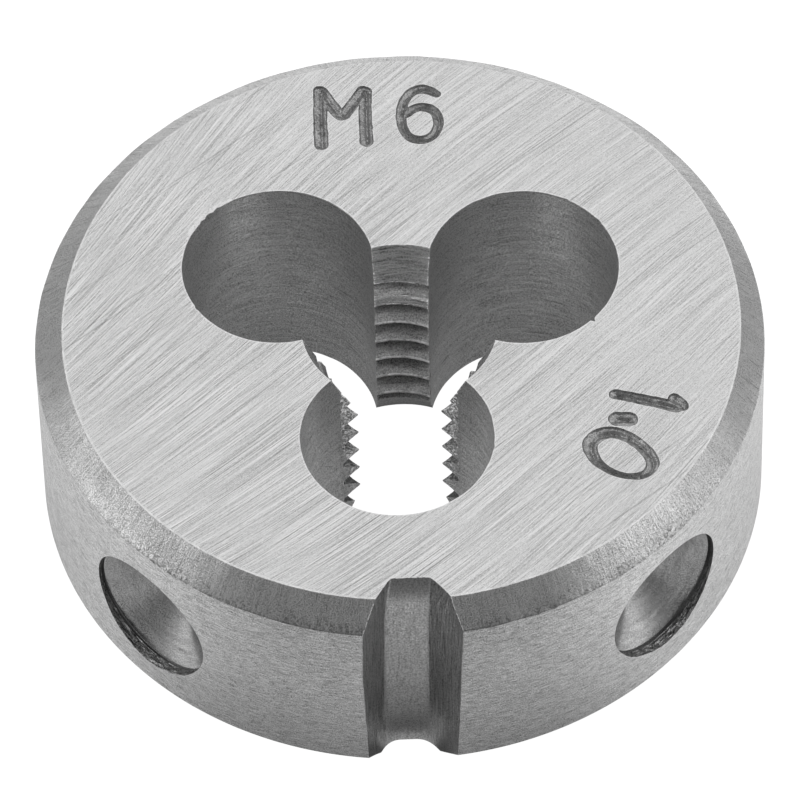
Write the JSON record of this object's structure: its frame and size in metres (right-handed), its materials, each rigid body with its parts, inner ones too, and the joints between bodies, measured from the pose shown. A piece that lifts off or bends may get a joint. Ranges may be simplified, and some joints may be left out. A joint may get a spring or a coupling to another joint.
{
  "type": "round threading die",
  "caption": "Round steel disc for cutting an outside thread on a rod, with threaded lands between round clearance holes, a side groove and screw dimples.",
  "frame": {"origin": "centre of the underside, on the axis of the bore", "axes": "+Z along the bore axis, out of the marked face; -Y through the middle of the retaining groove"},
  "size_m": [0.025, 0.0249, 0.009],
  "materials": {
    "ground_steel": "ground and hardened tool steel"
  },
  "bodies": {
    "root": {"round_die": "ground_steel"}
  },
  "joints": []
}
